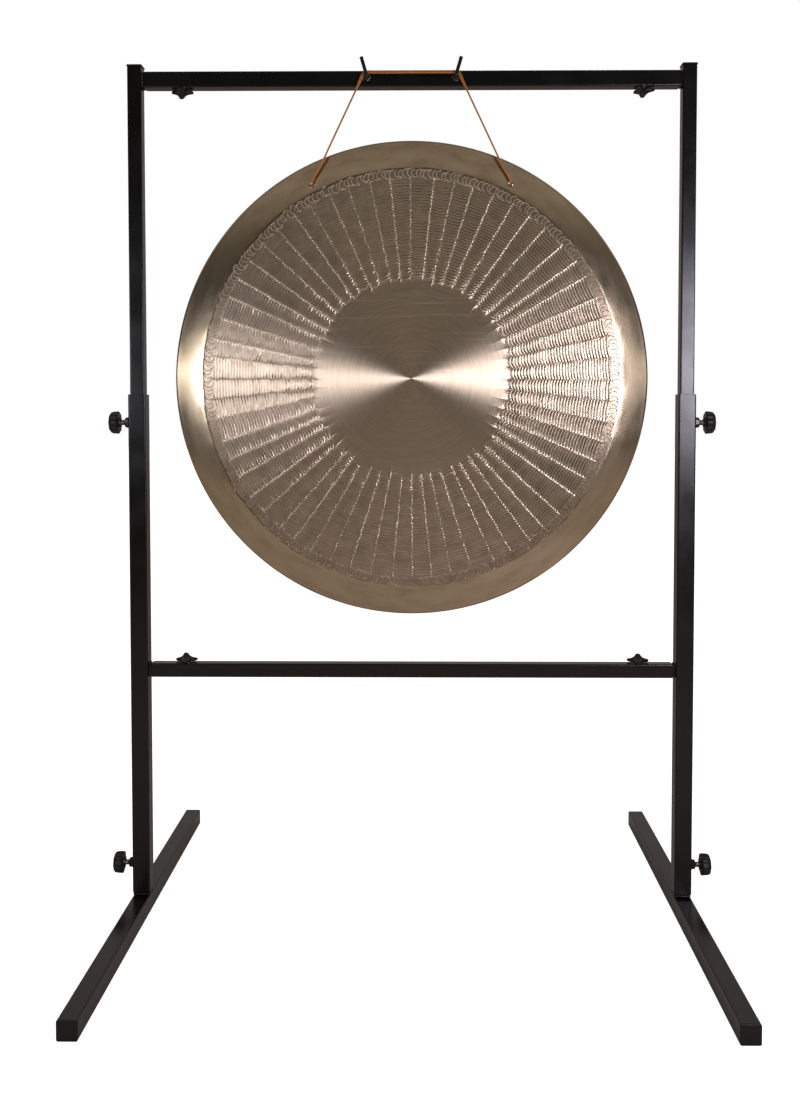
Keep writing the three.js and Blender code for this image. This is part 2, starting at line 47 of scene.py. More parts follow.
print("frame loaded:", len(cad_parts), "nodes")


# A node's box in millimetres: its two corners, its middle and its size
def boxOf(node):
    low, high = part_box(node)
    return low / mm, high / mm, (low + high) / 2 / mm, (high - low) / mm


# Where a node starts and ends along X, Y or Z (0, 1 or 2) for an eye that looks along the sign
def spanOf(node, axis, sign):
    low, high = boxOf(node)[:2]
    return sorted((low[axis], high[axis]), key=lambda at: at * sign)


def linear(hexCode):
    channels = [int(hexCode[i:i + 2], 16) / 255 for i in (1, 3, 5)]
    return tuple(c / 12.92 if c <= 0.04045 else ((c + 0.055) / 1.055) ** 2.4 for c in channels) + (1,)


# A kind of node comes without Blender's prefix, and an operation may follow it; an operation alone
# is one of the Math node. Values, sockets and other nodes fill its inputs in order. A capitalised
# keyword names an input, and the others are settings.
def addNode(tree, kind, *values, stops=(), **settings):
    kind, _, operation = ("Math " + kind if kind.islower() else kind).partition(" ")
    prefixes = ("ShaderNode", "GeometryNode", "FunctionNode", "Node")
    node = tree.nodes.new(next(p + kind for p in prefixes if hasattr(bpy.types, p + kind)))
    if operation:
        node.operation = operation.upper()
    named = {key: settings.pop(key) for key in list(settings) if key[0].isupper()}
    for setting, value in settings.items():
        setattr(node, setting, value)
    for index, (position, colour) in enumerate(stops):  # a colour ramp starts with two stops
        elements = node.color_ramp.elements
        element = elements[index] if index < 2 else elements.new(position)
        element.position, element.color = position, linear(colour)
    pairs = list(zip([socket for socket in node.inputs if socket.enabled], values))
    for socket, value in pairs + [(node.inputs[key], value) for key, value in named.items()]:
        if isinstance(value, bpy.types.Node):
            value = next(output for output in value.outputs if output.enabled)
        if isinstance(value, bpy.types.NodeSocket):
            tree.links.new(value, socket)
        elif value is not None:
            socket.default_value = value
    return node


def emptied(owner):
    owner.use_nodes = True
    owner.node_tree.nodes.clear()
    return partial(addNode, owner.node_tree)


def newMaterial(name, inputsOf, look):
    material = bpy.data.materials.new(name)
    add = emptied(material)
    place = add("TexCoord").outputs["Object"]
    add("OutputMaterial", add("BsdfPrincipled", **inputsOf(add, place, look)))
    return material


def perMetre(size):
    return 1 / (size * mm)


# Powder-coated steel: a smooth black film, so it mirrors softly and shows a faint orange peel
paintLook = {"colour": "#0b0a09", "roughness": 0.23, "smoother": 0.04, "rougher": 0.05,
             "wearScale": 22.0, "peelSize": 2.4, "peelHeight": 0.012}


def paintInputs(add, place, look):
    peel = add("TexNoise", place, perMetre(look["peelSize"]))
    wear = add("TexNoise", place, look["wearScale"], 4.0)
    rough = add("MapRange", wear, 0.3, 0.7, look["roughness"] - look["smoother"],
                look["roughness"] + look["rougher"])
    return {"Base Color": linear(look["colour"]), "Roughness": rough,
            "Normal": add("Bump", 0.5, look["peelHeight"] * mm, None, peel)}


# Moulded nylon: black with a fine matt grain, for the knobs, plugs and caps
nylonLook = {"colour": "#0d0d0c", "roughness": 0.42, "grainSize": 0.9, "grainHeight": 0.02}


def nylonInputs(add, place, look):
    grain = add("TexNoise", place, perMetre(look["grainSize"]), 3.0)
    return {"Base Color": linear(look["colour"]), "Roughness": look["roughness"],
            "Normal": add("Bump", 0.6, look["grainHeight"] * mm, None, grain)}


# Zinc-plated steel is a pale grey metal, a little cloudy. Waxed tan cotton cord is dull, with darker
# gaps between its plies.
zincLook = {"tones": [(0.3, "#8f8e88"), (0.62, "#c6c5bf")], "metal": 1, "roughness": 0.3,
            "patchSize": 3.5, "detail": 4.0}
cordLook = {"tones": [(0.3, "#8c5826"), (0.6, "#d08a40")], "metal": 0, "roughness": 0.7,
            "patchSize": 0.5, "detail": 2.0}


def patchyInputs(add, place, look):
    patches = add("TexNoise", place, perMetre(look["patchSize"]), look["detail"])
    return {"Base Color": add("ValToRGB", patches, stops=look["tones"]), "Metallic": look["metal"],
            "Roughness": look["roughness"]}


# Blackened steel of the hooks and their nuts: the black has chipped off, most on the nuts' edges
rodLook = {"colour": "#0b0a0a", "bare": "#e8ddcb", "roughness": 0.34, "chipSize": 1.6, "chipShare": 0.24}
nutLook = {**rodLook, "chipShare": 0.44}


def blackSteelInputs(add, place, look):
    flake = add("TexNoise", place, perMetre(look["chipSize"]), 2.0)
    edge = 1 - look["chipShare"]
    chip = add("MapRange", flake, edge, edge + 0.02, 0, 1)
    tone = add("ValToRGB", chip, stops=[(0.0, look["colour"]), (1.0, look["bare"])])
    return {"Base Color": tone, "Metallic": chip, "Roughness": look["roughness"]}


# Bell bronze: copper with a fifth of tin, a pale olive gold that warms where it is thick with wax.
# Scales are per metre, and turns are how often a pattern changes round the gong.
bronzeLook = {
    # mark is the dark of the stroke valleys: partly patina, partly painted shade
    "disc": "#ebd9be", "discDark": "#cdbba1", "scratch": "#fff6e8", "mark": "#3c3026",
    # edge is the pale of the ray borders, the arcs beside the strokes and the rays' ends: a painted
    # highlight
    "field": "#ead7bd", "fieldDark": "#d2bfa5", "edge": "#efe3cf", "band": "#c2b094",
    "bandDark": "#b4a489", "bandPale": "#c9b99c", "discRoughness": 0.385, "fieldRoughness": 0.345,
    "bandRoughness": 0.185, "discAnisotropy": 0.96, "fieldAnisotropy": 0.88, "rubbedMetal": 0.35,
    "brushPitch": 0.9, "brushTurns": 2.5, "brushHeight": 0.035, "scratchScale": (9, 9, 330),
    "scratchSlope": 0.06, "cloudScale": 60.0, "chatterPitch": 1.9, "chatterTurns": 30,
    "chatterHeight": 0.26, "curlBedStart": 0.281, "curlBedEnd": 0.284, "curlBed": 0.12,
    "waxScale": 45.0, "waxTurns": 5.0,
}
gongLow, gongHigh, gongAxis, _ = boxOf("gong")


# Distance from the gong's axis, and the direction straight out from it
def polarNodes(add, place):
    fromCentre = add("VectorMath subtract", place, tuple(gongAxis * mm))
    flat = add("VectorMath multiply", fromCentre, (1, 0, 1))
    return add("VectorMath length", flat), add("VectorMath normalize", flat)


# A place for a pattern that changes a lot from ring to ring and little along each ring
def ringPlace(add, radius, outward, scale, turns):
    turn = add("VectorMath multiply", outward, (turns, 0, turns))
    return add("VectorMath add", turn, add("CombineXYZ", None, add("multiply", radius, scale)))


def discInputs(add, place, look):
    radius, outward = polarNodes(add, place)
    # fine turned lines, which run all the way round
    lines = ringPlace(add, radius, outward, perMetre(look["brushPitch"]), look["brushTurns"])
    brush = add("TexNoise", lines, 1.0, 3.0, 0.7)
    tone = add("ValToRGB", brush, stops=[(0.3, look["discDark"]), (0.7, look["disc"])])
    # a few long scratches that handling has left above the middle, nearly level
    drawn = add("Mapping", place, Rotation=(0, look["scratchSlope"], 0), Scale=look["scratchScale"])
    scratch = add("MapRange", add("TexNoise", drawn, 1.0, 1.0), 0.63, 0.68, 0.0, 0.5)
    scuffed = add("MapRange", add("SeparateXYZ", outward).outputs["Z"], 0.1, 0.4, 0.1, 1.0)
    scratch = add("multiply", scratch, scuffed)
    tone = add("Mix", scratch, tone, linear(look["scratch"]), data_type="RGBA")
    return {"Base Color": tone, "Metallic": 1, "Roughness": look["discRoughness"], "Tangent": outward,
            "Anisotropic": look["discAnisotropy"],
            "Normal": add("Bump", 0.35, look["brushHeight"] * mm, None, brush)}


def fieldInputs(add, place, look):
    radius, outward = polarNodes(add, place)
    stroke, border = [add("Attribute", attribute_name=name).outputs["Fac"]
                      for name in ("strokeTone", "borderTone")]
    cloud = add("TexNoise", place, look["cloudScale"], 4.0)
    base = add("ValToRGB", cloud, stops=[(0.3, look["fieldDark"]), (0.7, look["field"])])
    # faint chatter inside the strokes, a few millimetres long round the gong
    chatterPlace = ringPlace(add, radius, outward, perMetre(look["chatterPitch"]), look["chatterTurns"])
    chatter = add("TexNoise", chatterPlace, 1.0, 3.0)
    # the stroke valleys darken to the mark colour: partly patina in the hollows, partly painted shade for
    # the dark the strokes reflect
    stroke = add("MapRange", stroke, 0.3, 0.8, 0.0, 1.0)
    bed = add("MapRange", radius, look["curlBedStart"], look["curlBedEnd"], 0.0, look["curlBed"])
    dark = add("maximum", stroke, bed)
    marked = add("Mix", dark, base, linear(look["mark"]), data_type="RGBA")
    # the pale lines are a painted highlight, paler on the upper half of the gong and fainter on the lower
    # one
    highlightByHeight = add("MapRange", add("SeparateXYZ", outward).outputs["Z"], -0.5, 0.35, 0.25, 0.62)
    border = add("multiply", border, highlightByHeight)
    edged = add("Mix", border, marked, linear(look["edge"]), data_type="RGBA")
    # a pale line is less metal, so its painted highlight stays pale where the metal mirrors the dark
    metal = add("MapRange", border, 0.0, 1.0, 1.0, look["rubbedMetal"])
    return {"Base Color": edged, "Metallic": metal, "Roughness": look["fieldRoughness"],
            "Tangent": outward, "Anisotropic": look["fieldAnisotropy"],
            "Normal": add("Bump", 0.8, look["chatterHeight"] * mm, None, chatter)}


def bandInputs(add, place, look):
    radius, outward = polarNodes(add, place)
    # old wax: soft clouds that lie along the band
    clouds = ringPlace(add, radius, outward, look["waxScale"], look["waxTurns"])
    wax = add("TexNoise", clouds, 1.6, 4.0, Distortion=0.15)
    tone = add("ValToRGB", wax, stops=[
        (0.32, look["bandDark"]), (0.5, look["band"]), (0.72, look["bandPale"])])
    rough = add("MapRange", wax, 0.3, 0.75, look["bandRoughness"] + 0.04, look["bandRoughness"] - 0.03)
    return {"Base Color": tone, "Metallic": 1, "Roughness": rough}


blackPaint = newMaterial("blackPowderCoat", paintInputs, paintLook)
nylon = newMaterial("mouldedNylon", nylonInputs, nylonLook)
zinc = newMaterial("zincPlatedSteel", patchyInputs, zincLook)
blackRod = newMaterial("blackenedRod", blackSteelInputs, rodLook)
blackNut = newMaterial("blackenedNut", blackSteelInputs, nutLook)
twine = newMaterial("waxedCottonCord", patchyInputs, cordLook)
bronzeDisc = newMaterial("latheBrushedBronze", discInputs, bronzeLook)
bronzeField = newMaterial("handHammeredBronze", fieldInputs, bronzeLook)
bronzeBand = newMaterial("polishedBronze", bandInputs, bronzeLook)
print("materials made")


# Shapes, in millimetres: a list of rings, each with as many points as the others
def loft(rings, closed=False):
    count, total = len(rings[0]), len(rings)
    faces = []
    for i in range(total if closed else total - 1):
        low, high = i * count, (i + 1) % total * count
        for j in range(count):
            nextPoint = (j + 1) % count
            faces.append((low + j, low + nextPoint, high + nextPoint, high + j))
    if not closed:
        faces.append(tuple(range(count - 1, -1, -1)))
        faces.append(tuple(range((total - 1) * count, total * count)))
    return [tuple(point) for ring in rings for point in ring], faces


# Square with round corners; a point set in from each corner keeps the shading of the flats flat
def squareRing(width, corner, height, steps=5, setIn=0.2):
    flat = width / 2 - corner
    ring = []
    for quarter in range(4):
        turn = Matrix.Rotation(quarter * math.pi / 2, 3, "Z")
        arc = [step * math.pi / 2 / steps for step in range(steps + 1)]
        points = [(flat + corner * math.cos(a), flat + corner * math.sin(a), height) for a in arc]
        points = [(flat + corner, flat - setIn, height), *points, (flat - setIn, flat + corner, height)]
        ring += [tuple(turn @ Vector(point)) for point in points]
    return ring


# The radius is a number, or a function of the angle
def roundRing(radius, height, count=48):
    angles = [2 * math.pi * j / count for j in range(count)]
    reach = [radius(a) if callable(radius) else radius for a in angles]
    return [(r * math.cos(a), r * math.sin(a), height) for r, a in zip(reach, angles)]


def turned(profile, closed=True, count=48):
    return loft([roundRing(radius, height, count) for radius, height in profile], closed)


# Turns a piece's own Z axis to a direction and moves it to its place
def facing(direction, at, spin=0.0):
    turn = Vector((0, 0, 1)).rotation_difference(Vector(direction)).to_matrix().to_4x4()
    return Matrix.Translation(Vector(at)) @ turn @ Matrix.Rotation(spin, 4, "Z")


def placed(shape, matrix):
    return [tuple(matrix @ Vector(point)) for point in shape[0]], shape[1]


def shapeMesh(shapes, place, material):
    vertices, faces = [], []
    for shape in shapes:
        moreVertices, moreFaces = placed(placed(shape, place), Matrix.Scale(mm, 4))
        faces += [tuple(index + len(vertices) for index in face) for face in moreFaces]
        vertices += moreVertices
    mesh = bpy.data.meshes.new("shape")
    mesh.from_pydata(vertices, [], faces)
    mesh.materials.append(material)
    return mesh


# One mesh of several in one material, with faces turned outwards and edges sharp above an angle
def merged(*meshes, sharpAngle=34):
    work, whole = bmesh.new(), bpy.data.meshes.new("piece")
    for mesh in meshes:
        work.from_mesh(mesh)
    for face in work.faces:  # a grown mesh can have an empty slot before its material
        face.material_index = 0
    bmesh.ops.recalc_face_normals(work, faces=work.faces)
    work.to_mesh(whole)
    work.free()
    whole.materials.append(meshes[0].materials[-1])
    return shaded(whole, sharpAngle)


def shaded(mesh, sharpAngle):
    mesh.shade_smooth()
    mesh.set_sharp_from_angle(angle=math.radians(sharpAngle))
    return mesh


def newObject(name, data):
    item = bpy.data.objects.new(name, data)
    bpy.context.scene.collection.objects.link(item)
    return item


def addPiece(node, ending, body, mesh):
    piece = newObject(f"{node}_{ending}", mesh)
    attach(piece, body)
    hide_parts(node)


# A curve through points, as smooth as the cord's own route
def smoothLine(points, stepsPerSpan):
    points = [np.array(point, float) for point in points]
    points = [2 * points[0] - points[1]] + points + [2 * points[-1] - points[-2]]
    line = []
    for four in zip(points, points[1:], points[2:], points[3:]):
        knots = np.cumsum([0] + [np.linalg.norm(b - a) ** 0.5 for a, b in zip(four, four[1:])])
        for step in range(stepsPerSpan):
            at, mixed = knots[1] + (knots[2] - knots[1]) * step / stepsPerSpan, four
            for starts, ends in ((knots[:3], knots[1:]), (knots[:2], knots[2:]), (knots[1:2], knots[2:3])):
                mixed = [((end - at) * a + (at - start) * b) / (end - start)
                         for a, b, start, end in zip(mixed, mixed[1:], starts, ends)]
            line.append(mixed[0])
    return line + [points[-2]]


# A path in millimetres; a fourth number makes it thicker or thinner there
def pathCurve(points, cyclic=False):
    curve = bpy.data.curves.new("path", "CURVE")
    curve.dimensions = "3D"
    spline = curve.splines.new("POLY")
    spline.points.add(len(points) - 1)
    spline.use_cyclic_u = cyclic
    for target, point in zip(spline.points, points):
        target.co = (*(at * mm for at in point[:3]), 1)
        target.radius = point[3] if len(point) > 3 else 1
    return curve


# Geometry Nodes: a tree is made with named inputs, applied to a curve or mesh and taken off again.
# A length is given to it in millimetres and an angle in degrees.
measures = {"Length": ("DISTANCE", mm), "Angle": ("ANGLE", math.radians(1))}


def newTree(name, **inputs):
    tree = bpy.data.node_groups.new(name, "GeometryNodeTree")
    newSocket = tree.interface.new_socket
    newSocket("Geometry", in_out="OUTPUT", socket_type="NodeSocketGeometry")
    for kind, labels in {"Geometry": "Geometry", **inputs}.items():
        for label in labels.split():
            number = "Float" if kind in measures else kind
            socket = newSocket(label, in_out="INPUT", socket_type="NodeSocket" + number)
            if kind in measures:
                socket.subtype = measures[kind][0]
    add = partial(addNode, tree)
    return tree, add, add("GroupInput").outputs


def finishTree(add, geometry, material, choices=()):
    painted = add("SetMaterial", add("RealizeInstances", geometry), None, material)
    for chosen, other in choices:
        painted = add("SetMaterial", painted, chosen, other)
    add("GroupOutput", painted)


def applied(holder, modifier):
    graph = bpy.context.evaluated_depsgraph_get()
    mesh = bpy.data.meshes.new_from_object(
        holder.evaluated_get(graph), preserve_all_data_layers=True, depsgraph=graph)
    holder.modifiers.remove(modifier)
    bpy.data.objects.remove(holder)
    return mesh


def grow(tree, base, values, **more):
    holder = newObject(tree.name, base)
    modifier = holder.modifiers.new(tree.name, "NODES")
    modifier.node_group = tree
    units, values = dict(measures.values()), {**values, **more}
    for item in tree.interface.items_tree:
        if item.in_out == "INPUT" and item.name in values:
            value, unit = values[item.name], units.get(getattr(item, "subtype", None))
            modifier[item.identifier] = value * unit if unit else value
    return applied(holder, modifier)


# A thread or a twist along a path: the surface is cut in where the helix passes
def helixTree():
    tree, add, given = newTree(
        "helixAlongPath", Length="diameter pitch depth", Int="starts sides", Material="material")
    step = add("divide", given["pitch"], 8.0)
    fine = add("ResampleCurve", given["Geometry"], None, step, mode="LENGTH")
    circle = add("CurvePrimitiveCircle", given["sides"], add("multiply", given["diameter"], 0.5))
    holders = []
    for curve, measure in ((fine, "Length"), (circle, "Factor")):
        holder = add("CaptureAttribute", curve)
        holder.capture_items.new("FLOAT", "Held")
        tree.links.new(add("SplineParameter").outputs[measure], holder.inputs["Held"])
        holders.append(holder)
    tube = add("CurveToMesh", *holders, None, True)
    along, around = [holder.outputs["Held"] for holder in holders]
    turns = add("divide", along, given["pitch"])
    starts = add("multiply", around, given["starts"])
    share = add("fract", add("add", turns, starts))
    valley = add("absolute", add("subtract", share, 0.5))
    depth = add("multiply", add("multiply", valley, -2.0), given["depth"])
    move = add("VectorMath scale", add("InputNormal"), depth)
    finishTree(add, add("SetPosition", tube, None, None, move), given["material"])
    return tree


# Copies of a shape on points, each smaller by a random share
def scatter(add, given, spots, shape, turn):
    size = add("RandomValue", add("subtract", 1.0, given["unevenness"]), 1.0, Seed=given["seed"])
    return add("InstanceOnPoints", spots, Instance=shape, Rotation=turn, Scale=size)


# A weld: beads of metal that overlap along the seam
def weldTree():
    tree, add, given = newTree(
        "weldAlongPath", Length="bead spacing", Float="unevenness", Int="seed", Material="material")
    spots = add("CurveToPoints", given["Geometry"], given["spacing"], mode="LENGTH")
    ball = add("MeshUVSphere", 8, 6, given["bead"])
    finishTree(add, scatter(add, given, spots, ball, spots.outputs["Rotation"]), given["material"])
    return tree


# Small C-shaped punch marks in a ring
def curlTree():
    tree, add, given = newTree("ringOfCurls", Length="width wire", Angle="sweep",
                               Float="unevenness paleness", Int="seed", Material="material")
    arc = add("CurveArc", 8, add("multiply", given["width"], 0.5), None, given["sweep"], mode="RADIUS")
    curl = add("CurveToMesh", arc, add("CurvePrimitiveCircle", 4, given["wire"]), None, True)
    turn = add("InputNamedAttribute", "turn", data_type="FLOAT_VECTOR")
    curls = scatter(add, given, add("MeshToPoints", given["Geometry"]), curl, turn)
    curls = add("RealizeInstances", curls)
    pale = add("StoreNamedAttribute", curls, None, "borderTone", given["paleness"])
    finishTree(add, pale, given["material"])
    return tree


helix, weld = helixTree(), weldTree()

# Square tubes with round corners over the frame's own boxes. A spigot or stub is one that stands on
# a weld round its root.
tubes = {
    "footBar": {"wall": 2, "corner": 2.2}, "lowerUpright": {"wall": 2, "corner": 2.2},
    "upperUpright": {"wall": 1.5, "corner": 1.8}, "crossbar": {"wall": 1.5, "corner": 1.8},
    "spigot": {"side": 20, "wall": 2, "corner": 1.8, "bead": 2.1, "rise": 1.9},
    "topStub": {"side": 18, "wall": 1.5, "corner": 1.5, "bead": 1.6, "rise": 1.1},
    "midStub": {"side": 16, "wall": 1.5, "corner": 1.5, "bead": 1.6, "rise": 1.1},
}
welding = {"spacingShare": 0.75, "unevenness": 0.3, "sharpAngle": 40,
           "seeds": {"spigot": 4, "stub": 6, "nut": 11}}
bars = {"top": "upper_frame", "mid": "lower_frame"}


def squareTube(length, side, wall, corner, ease=0.35):
    bore, boreCorner = side - 2 * wall, corner - wall / 2
    eased = (side - 2 * ease, corner - ease / 2)
    return loft([squareRing(*ring) for ring in (
        (side, corner, ease), (side, corner, length - ease), (*eased, length),
        (bore + ease / 2, boreCorner, length), (bore, boreCorner, length - ease),
        (bore, boreCorner, ease), (bore + ease / 2, boreCorner, 0), (*eased, 0))], closed=True)


def weldMesh(seam, place, bead, seed):
    path = pathCurve([place @ Vector(point) for point in seam], cyclic=True)
    return grow(weld, path, {"bead": bead, "spacing": bead * welding["spacingShare"],
                             "unevenness": welding["unevenness"]}, seed=seed, material=blackPaint)


def addTube(node, direction, kind, body, seed=None):
    tube, (middle, size) = tubes[kind], boxOf(node)[2:]
    # the box of a welded tube takes in its weld, so its side is given
    length, side = abs(size.dot(Vector(direction))), tube.get("side", min(size))
    place = facing(direction, middle - Vector(direction) * length / 2)
    mesh = shapeMesh([squareTube(length, side, tube["wall"], tube["corner"])], place, blackPaint)
    if seed is None:
        return addPiece(node, "tube", body, merged(mesh))
    seam = squareRing(side + tube["bead"] * 0.5, tube["corner"], tube["rise"])
    mesh = merged(mesh, weldMesh(seam, place, tube["bead"], seed), sharpAngle=welding["sharpAngle"])
    addPiece(node, "welded", body, mesh)


for side in sides:
    addTube(side + "_foot_bar", (0, 1, 0), "footBar", "feet")
    addTube(side + "_lower_upright", (0, 0, 1), "lowerUpright", "lower_frame")
    addTube(side + "_upper_upright", (0, 0, 1), "upperUpright", "upper_frame")
for bar, body in bars.items():
    addTube(bar + "_crossbar", (1, 0, 0), "crossbar", body)
print("tubes made")

for index, (side, sign) in enumerate(sides.items()):
    addTube(side + "_foot_spigot", (0, 0, 1), "spigot", "feet", welding["seeds"]["spigot"] + index)
    for bar, body in bars.items():
        addTube(f"{bar}_{side}_stub", (-sign, 0, 0), bar + "Stub", body,
                welding["seeds"]["stub"] + index)
print("welded posts made")


# Plastic ends: plugs in the feet and caps on the uprights, each with its skirt in the tube
plug = {"thickness": 2.5, "edge": 0.9, "corner": 2.2, "skirt": 20.4}
cap = {"thickness": 2, "edge": 0.6, "corner": 1.8, "skirt": 16.4}


def addEnd(node, direction, end, body):
    middle, size = boxOf(node)[2:]
    depth = abs(size.dot(Vector(direction)))
    seat = middle + Vector(direction) * (depth / 2 - end["thickness"])
    width, thickness, edge, corner = size.x, end["thickness"], end["edge"], end["corner"]
    rings = [(end["skirt"], 1.0, thickness - depth), (end["skirt"], 1.0, 0),
             (width - 0.4, corner, 0), (width, corner, 0.2)]
    for step in range(6):
        angle = step * math.pi / 2 / 5
        rings.append((width - 2 * edge * (1 - math.cos(angle)), corner,
                      thickness - edge * (1 - math.sin(angle))))
    rings.append((width * 0.3, corner * 0.5, thickness))
    shape = loft([squareRing(*ring) for ring in rings])
    mesh = merged(shapeMesh([shape], facing(direction, seat), nylon))
    addPiece(node, "moulded", body, mesh)


for side in sides:
    for end, direction in (("front", -1), ("back", 1)):
        addEnd(f"{side}_foot_{end}_plug", (0, direction, 0), plug, "feet")
    addEnd(side + "_top_cap", (0, 0, 1), cap, "upper_frame")
print("plastic ends made")


# Clamps: a welded hexagonal nut, a threaded stud and a fluted knob
clamp = {"nutAcross": 13, "nutChamfer": 1.6, "nutBore": 4.3, "nutBead": 1.0, "seamRise": 0.3,
         "lobes": 8, "flute": 1.5, "knobSides": 96, "hubRoot": 6, "hub": 7.5, "hubHeight": 2.5,
         "hubSink": 0.5, "hubBore": 4.4}
stud = {"diameter": 8, "pitch": 1.25, "depth": 0.62}
thread = {"starts": 1, "sides": 20, "taper": 1.0, "tip": 0.72, "sharpAngle": 60}
knobProfile = [(0.0, 0.86), (0.015, 0.93), (0.05, 0.985), (0.12, 1.0), (0.3, 0.995), (0.55, 0.98),
               (0.75, 0.945), (0.88, 0.88), (0.955, 0.78), (0.99, 0.66), (1.0, 0.54), (1.0, 0.3)]


def hexRing(across, height, limit):
    def radiusAt(angle):
        return min(across / 2 / math.cos((angle + math.pi / 6) % (math.pi / 3) - math.pi / 6), limit)
    return roundRing(radiusAt, height)


def hexNut(across, height, chamfer, bore):
    corner, face = across / math.sqrt(3), across / 2 - 0.2
    outside = [(0, corner), (height - chamfer, corner), (height - chamfer / 2, (corner + face) / 2),
               (height, face)]
    inside = [(bore + 0.4, height), (bore, height - 0.4), (bore, 0)]
    return loft([hexRing(across, *ring) for ring in outside] + [roundRing(*ring) for ring in inside],
                closed=True)


def flutedKnob(radius, height):
    rings = []
    for along, out in knobProfile:
        depth = clamp["flute"] * min(1, (1.0 - along) * 6 + 0.35)

        def radiusAt(angle):
            wave = (0.5 - 0.5 * math.cos(clamp["lobes"] * angle)) ** 1.6
            return (radius - depth * wave) * out
        rings.append(roundRing(radiusAt, along * height, clamp["knobSides"]))
    return loft(rings)


def threadedMesh(points, rod, material):
    mesh = grow(helix, pathCurve(points), {**thread, **rod}, material=material)
    return merged(mesh, sharpAngle=thread["sharpAngle"])


def addScrew(node, span, body, rod):
    start, end = [Vector(point) for point in span]
    taper = (end - start).normalized() * thread["taper"]
    points = [(*start, thread["tip"]), (*(start + taper), 1), (*(end - taper), 1), (*end, thread["tip"])]
    addPiece(node, "thread", body, threadedMesh(points, rod, zinc))


for level in ("lower", "upper"):
    for side, sign in sides.items():
        name = f"{level}_{side}"
        _, y, z = boxOf(name + "_weld_nut")[2]
        inner, outer = spanOf(name + "_weld_nut", 0, sign)
        place = facing((sign, 0, 0), (inner, y, z), spin=math.pi / 6)
        shape = hexNut(clamp["nutAcross"], abs(outer - inner), clamp["nutChamfer"], clamp["nutBore"])
        seam = hexRing(clamp["nutAcross"], clamp["seamRise"], clamp["nutAcross"])
        seam = weldMesh(seam, place, clamp["nutBead"], welding["seeds"]["nut"])
        mesh = merged(shapeMesh([shape], place, blackPaint), seam, sharpAngle=welding["sharpAngle"])
        addPiece(name + "_weld_nut", "hex", "lower_frame", mesh)

        span = [(x, y, z) for x in spanOf(name + "_clamp_stud", 0, sign)]
        addScrew(name + "_clamp_stud", span, name + "_stud", stud)

        inner, outer = spanOf(name + "_clamp_knob", 0, sign)
        hubHeight, bore = clamp["hubHeight"], clamp["hubBore"]
        hub = turned([(bore, -hubHeight), (clamp["hubRoot"], -hubHeight),
                      (clamp["hub"], clamp["hubSink"]), (bore, clamp["hubSink"])])
        knob = flutedKnob(boxOf(name + "_clamp_knob")[3].y / 2, abs(outer - inner) - hubHeight)
        place = facing((sign, 0, 0), (inner + sign * hubHeight, y, z))
        mesh = merged(shapeMesh([knob, hub], place, nylon))
        addPiece(name + "_clamp_knob", "fluted", name + "_knob", mesh)
print("clamps made")


# Star knobs: three arms that flare to a pointed hub, a threaded insert and a screw under each
star = {"arm": 17.5, "valley": 7.2, "tip": 3.2, "height": 12.2, "armPower": 2, "sides": 96,
        "sharpAngle": 50}
starScrew = {"diameter": 6, "pitch": 1, "depth": 0.5}
starProfile = [(0.0, 0.9), (0.03, 0.97), (0.07, 1.0), (0.15, 1.01), (0.23, 0.99), (0.28, 0.92),
               (0.33, 0.77), (0.39, 0.59), (0.46, 0.43), (0.54, 0.31), (0.63, 0.21), (0.73, 0.13),
               (0.84, 0.06), (0.93, 0.0)]
starPoint = [(0.985, 0.85), (1.0, 0.55)]
starAngles = {"top_left": -30, "top_right": 0, "mid_left": 32, "mid_right": 22}


def starKnob():
    def outline(share, angle):
        wave = (0.5 + 0.5 * math.cos(3 * angle)) ** star["armPower"]
        full = star["valley"] + (star["arm"] - star["valley"]) * wave
        return star["tip"] + (full - star["tip"]) * share
    rings = [roundRing(partial(outline, share), along * star["height"], star["sides"])
             for along, share in starProfile]
    return loft(rings + [roundRing(star["tip"] * share, along * star["height"], star["sides"])
                         for along, share in starPoint])


for bar, body, up in (("top", "upper_frame", -1), ("mid", "lower_frame", 1)):
    for side in sides:
        name = f"{bar}_{side}"
        x, y, _ = boxOf(name + "_star_screw")[2]
        turn = Matrix.Rotation(math.pi if up < 0 else 0, 4, "X") @ Matrix.Rotation(
            math.radians(starAngles[name]), 4, "Z")
        place = Matrix.Translation((x, y, spanOf(name + "_star_knob", 2, up)[0])) @ turn
        mesh = merged(shapeMesh([starKnob()], place, nylon), sharpAngle=star["sharpAngle"])
        addPiece(name + "_star_knob", "moulded", name + "_star", mesh)
        span = [(x, y, z) for z in spanOf(name + "_star_screw", 2, up)]
        addScrew(name + "_star_screw", span, name + "_screw", starScrew)
        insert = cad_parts[name + "_insert"].data.materials
        insert.clear()
        insert.append(zinc)
print("star knobs made")


# Hooks: threaded rod bent up in front of the bar, leaning outwards, with a flanged nut on each face
rod = {"diameter": 5.2, "pitch": 0.8, "depth": 0.45}
hook = {"reach": 13, "bend": 5, "bendSteps": 8, "arm": 25.4, "lean": 16.2, "nutAcross": 8,
        "nutHeight": 2.7, "nutChamfer": 0.8, "nutSpin": 0.3, "flange": 6, "flangeHeight": 0.8,
        "play": 0.3}


